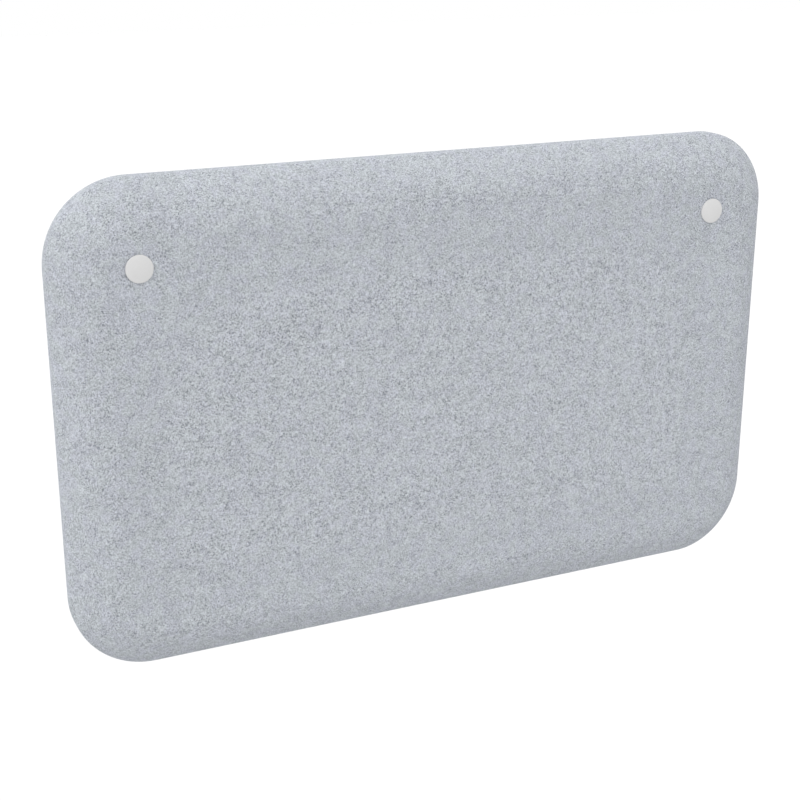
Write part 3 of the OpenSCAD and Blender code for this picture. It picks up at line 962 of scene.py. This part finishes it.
cap = {
    "radius": capRadius,
    "rim": 2.6 * mm,
    "dome": 1.9 * mm,
    "edgeRadius": 1.2 * mm,
    "wallTop": 1.2 * mm,
    "foot": -0.8 * mm,
    "footRound": 0.35 * mm,
    "mouthRound": 0.3 * mm,
    "clipRadius": 18.35 * mm,
    "clipRound": 0.2 * mm,
    "ledge": 1.15 * mm,
    "ledgeRound": 0.3 * mm,
    "innerRadius": 16.15 * mm,
    "roof": 1.3 * mm,
    "domeRings": 12,
    "edgeRings": 8,
    "roofRings": 8,
    "sidesRound": 128,
}


def domeRow(radius, level, rings):  # (radius, height) from the middle outwards
    flat = cap["radius"] - cap["edgeRadius"]
    ball = (flat ** 2 + cap["dome"] ** 2) / (2 * cap["dome"])
    centre = level + cap["dome"] - ball
    return [(x, centre + math.sqrt(ball ** 2 - x ** 2)) for x in np.linspace(0, radius, rings)]


def addCap(side):
    outerRadius, edge, foot, ledge = cap["radius"], cap["edgeRadius"], cap["foot"], cap["ledge"]
    clip, within, ceiling = cap["clipRadius"], cap["innerRadius"], cap["rim"] - cap["roof"]
    outer = domeRow(outerRadius - edge, cap["rim"], cap["domeRings"])
    fall = math.atan2(outer[-2][1] - outer[-1][1], outer[-1][0] - outer[-2][0])
    for turn in np.linspace(fall, math.pi / 2, cap["edgeRings"])[1:]:
        outer.append((outerRadius - edge + edge * math.sin(turn),
                      cap["rim"] - edge + edge * math.cos(turn)))
    skirt = roundedProfile([
        (outerRadius, cap["wallTop"], 0), (outerRadius, foot, cap["footRound"]),
        (clip, foot, cap["mouthRound"]), (clip, ledge, cap["clipRound"]),
        (within, ledge, cap["ledgeRound"]), (within, ceiling, 0)])
    inner = list(reversed(domeRow(within, ceiling, cap["roofRings"])))
    addTurned(side + "_cap", side, frontFace, outer + skirt + inner, "cap_plastic",
              evenTurns(cap["sidesRound"]), body=side + "_cap", prefix="moulded_")


washer = {
    "radius": 18.2 * mm,
    "top": 1.0 * mm,
    "under": -1.2 * mm,
    "bossRadius": 10.5 * mm,
    "bossUnder": -5.2 * mm,
    "hole": 3.2 * mm,
    "sink": 6.2 * mm,
    "sinkRound": 0.15 * mm,
    "rimRound": 0.7 * mm,
    "backRound": 0.4 * mm,
    "neckRound": 0.3 * mm,
    "bossRound": 0.5 * mm,
    "holeRound": 0.3 * mm,
    "coneRound": 0.2 * mm,
    "sidesRound": 96,
}


def addWasher(side):
    w = washer
    coneFoot = w["top"] - (w["sink"] - w["hole"])
    profile = roundedProfile([
        (w["sink"], w["top"], w["sinkRound"]), (w["radius"], w["top"], w["rimRound"]),
        (w["radius"], w["under"], w["backRound"]), (w["bossRadius"], w["under"], w["neckRound"]),
        (w["bossRadius"], w["bossUnder"], w["bossRound"]), (w["hole"], w["bossUnder"], w["holeRound"]),
        (w["hole"], coneFoot, w["coneRound"])])
    addTurned(side + "_cup_washer", side, frontFace, profile, "plated_steel",
              evenTurns(w["sidesRound"]), ring=True)


screw = {
    "top": 1.0 * mm,
    "length": 25 * mm,
    "headRadius": 6 * mm,
    "headRound": 0.25 * mm,
    "faceRing": 3 * mm,
    "rimIn": 0.3 * mm,  # the rim of the head, above its cone
    "rimDeep": 0.5 * mm,
    "core": 2.4 * mm,
    "neck": 0.3 * mm,
    "plain": 1 * mm,
    "thread": 0.5 * mm,
    "pitch": 1 * mm,
    "tip": 0.8 * mm,
    "tipIn": 0.7 * mm,
    "socketHalf": 2 * mm,
    "socketDepth": 2.5 * mm,
    "socketPoint": 0.6 * mm,
    "mouthDeep": 0.15 * mm,
    "mouthOut": 0.2 * mm,
    "sidesRound": 48,
}


def hexRadius(half):
    def radius(turn):
        return half / math.cos((turn + math.pi / 6) % (math.pi / 3) - math.pi / 6)
    return radius


def addClampScrew(side):
    s = screw
    top, end, head = s["top"], s["top"] - s["length"], s["headRadius"]
    floor, neck = top - s["socketDepth"], top - head + s["core"]
    socket, mouth = hexRadius(s["socketHalf"]), hexRadius(s["socketHalf"] + s["mouthOut"])
    profile = [(0, floor - s["socketPoint"]), (socket, floor), (socket, top - s["mouthDeep"]), (mouth, top)]
    profile += roundedProfile([(s["faceRing"], top, 0), (head, top, s["headRound"]),
                               (head - s["rimIn"], top - s["rimDeep"], 0)])
    profile += [(s["core"] + s["neck"], neck)]
    profile += threadRows(s["core"], s["thread"], s["pitch"], neck - s["plain"], end + s["tip"])
    profile += [(s["core"] - s["tipIn"], end), (0, end)]
    addTurned(side + "_clamp_screw", side, frontFace, profile, "screw_steel", evenTurns(s["sidesRound"]))


nut = {
    "radius": 20 * mm,
    "thickness": 5.2 * mm,
    "bossRadius": 10.5 * mm,
    "length": 9.2 * mm,
    "bore": 8.1 * mm,
    "boreRound": 0.4 * mm,
    "faceRound": 0.6 * mm,
    "backRound": 0.4 * mm,
    "neckRound": 0.2 * mm,
    "bossRound": 0.5 * mm,
    "slots": 4,
    "slotDepth": 2.5 * mm,
    "slotHalf": 7.2,  # degrees, as is the next
    "slotWall": 0.1,
    "slotFloor": 4 * mm,
    "slotColumns": 7,
    "landColumns": 21,
}


def slotted(radius):
    def cut(turn):
        apart = 360 / nut["slots"]
        away = (math.degrees(turn) - apart / 2) % apart
        inSlot = min(away, apart - away) < nut["slotHalf"]
        return min(radius, nut["radius"] - nut["slotDepth"]) if inSlot else radius
    return cut


def addRingNut(side):
    n = nut
    apart = 360 / n["slots"]
    inSlot, onLand = n["slotHalf"] - n["slotWall"], apart / 2 - n["slotHalf"]
    turns = []
    for k in range(n["slots"]):
        turns += [apart * (k + 0.5) + away for away in np.linspace(-inSlot, inSlot, n["slotColumns"])]
        turns += [apart * (k + 1) + away for away in np.linspace(-onLand, onLand, n["landColumns"])]
    turns = [math.radians(turn) for turn in turns]
    face = roundedProfile([(n["bore"], 0, n["boreRound"]), (n["radius"], 0, n["faceRound"]),
                           (n["radius"], n["slotFloor"], 0)])
    face = [(slotted(r), h) for r, h in face]
    back = roundedProfile([
        (n["radius"], n["slotFloor"], 0), (n["radius"], n["thickness"], n["backRound"]),
        (n["bossRadius"], n["thickness"], n["neckRound"]), (n["bossRadius"], n["length"], n["bossRound"]),
        (n["bore"], n["length"], n["boreRound"]), (n["bore"], n["length"] / 2, 0)])
    addTurned(side + "_ring_nut", side, 0, face + back, "plated_steel", turns, ring=True)


tube = {
    "radius": 8 * mm,
    "endRound": 0.4 * mm,
    "threadDepth": 30 * mm,
    "rearCore": 3.4 * mm,
    "rearPitch": 1.25 * mm,
    "rearThread": 0.62 * mm,
    "rearMouth": 0.6 * mm,
    "rearPoint": 1.5 * mm,
    "frontCore": 2.5 * mm,
    "frontMouth": 0.5 * mm,
    "frontPoint": 1.2 * mm,
    "plateRadius": 24 * mm,
    "plateNear": 36 * mm,
    "plateFar": 39 * mm,
    "plateRound": 0.5 * mm,
    "farRound": 0.3 * mm,
    "rootRound": 0.2 * mm,
    "screws": 3,
    "screwRing": 16 * mm,
    "screwHole": 1.6 * mm,
    "holeSides": 32,
    "sidesRound": 48,
}


def addTube(side):
    t = tube
    length = -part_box(side + "_hanger_tube")[0].y
    deepest = length - t["threadDepth"]
    rear = threadRows(t["rearCore"], t["rearThread"], t["rearPitch"], t["threadDepth"], t["rearMouth"])
    front = threadRows(t["frontCore"], screw["thread"], screw["pitch"], length - t["frontMouth"], deepest)
    outside = roundedProfile([
        (t["rearCore"] + t["rearThread"], 0, 0), (t["radius"], 0, t["endRound"]),
        (t["radius"], t["plateNear"], t["plateRound"]), (t["plateRadius"], t["plateNear"], t["plateRound"]),
        (t["plateRadius"], t["plateFar"], t["farRound"]), (t["radius"], t["plateFar"], t["rootRound"]),
        (t["radius"], length, t["endRound"]), (t["frontCore"] + screw["thread"], length, 0)])
    profile = [(0, t["threadDepth"] + t["rearPoint"])] + rear + outside + front
    profile += [(0, deepest - t["frontPoint"])]
    piece = addTurned(side + "_hanger_tube", side, 0, profile, "plated_steel", evenTurns(t["sidesRound"]))
    drillPlate(piece, side)


def drillPlate(piece, side):
    t = tube
    centre = -(t["plateNear"] + t["plateFar"]) / 2
    deep = 3 * (t["plateFar"] - t["plateNear"])  # right through
    drills = bmesh.new()
    for k in range(t["screws"]):
        turn = math.pi / 2 + 2 * math.pi * k / t["screws"]
        made = bmesh.ops.create_cone(drills, cap_ends=True, segments=t["holeSides"],
                                     radius1=t["screwHole"], radius2=t["screwHole"], depth=deep)
        bmesh.ops.rotate(drills, verts=made["verts"], matrix=Matrix.Rotation(math.pi / 2, 3, "X"))
        place = (sides[side] * fixingX + t["screwRing"] * math.cos(turn), centre,
                 fixingZ + t["screwRing"] * math.sin(turn))
        bmesh.ops.translate(drills, verts=made["verts"], vec=place)
    mesh = bpy.data.meshes.new("drills")
    drills.to_mesh(mesh)
    drills.free()
    cutter = bpy.data.objects.new("drills", mesh)
    bpy.context.scene.collection.objects.link(cutter)
    applyModifier(piece, "BOOLEAN", object=cutter, operation="DIFFERENCE", solver="EXACT")
    bpy.data.objects.remove(cutter)
    smooth(piece.data)


for side in sides:
    addCap(side)
    addWasher(side)
    addClampScrew(side)
    addRingNut(side)
    addTube(side)
print("fixings turned")

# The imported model's own pieces that keep their shape take their finish here

for part in frame["record"]["subparts"]:
    keeper = frame["nodes"][part["node"]]
    if not keeper.hide_render:
        keeper.data.materials.clear()
        keeper.data.materials.append(finishes[part["material_slot"]])
